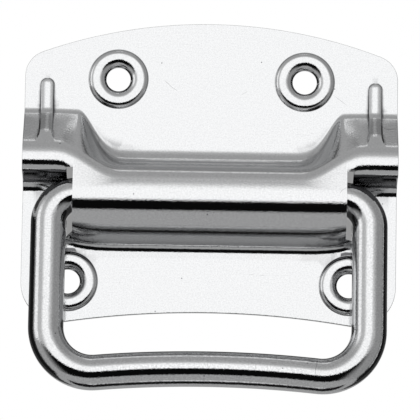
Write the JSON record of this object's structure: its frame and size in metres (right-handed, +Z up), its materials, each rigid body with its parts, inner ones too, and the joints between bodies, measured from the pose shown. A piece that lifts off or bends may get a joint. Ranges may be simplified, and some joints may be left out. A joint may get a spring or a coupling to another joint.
{
  "type": "chest handle",
  "caption": "Surface-mounted chest handle: a pressed plate with a hollow hood and raised ears, and a bent rod bail that swings out from the hood to be gripped.",
  "frame": {"origin": "on the mounting plane, midway between the two upper screw holes", "axes": "+X to the right along the plate's width, +Y into the chest's wall, +Z up; the front faces -Y"},
  "size_m": [0.1, 0.0141, 0.1006],
  "materials": {
    "plated_sheet": "bright plated pressed sheet steel",
    "plated_rod": "bright plated drawn steel rod"
  },
  "bodies": {
    "plate": {"base_plate": "plated_sheet"},
    "bail": {"bail_handle": "plated_rod"}
  },
  "joints": [
    {"name": "bail_swing", "type": "hinge", "parent": "plate", "child": "bail", "pos_m": [0, -0.00625, -0.0326], "axis": [-1, 0, 0], "range_deg": [0, 97]}
  ]
}
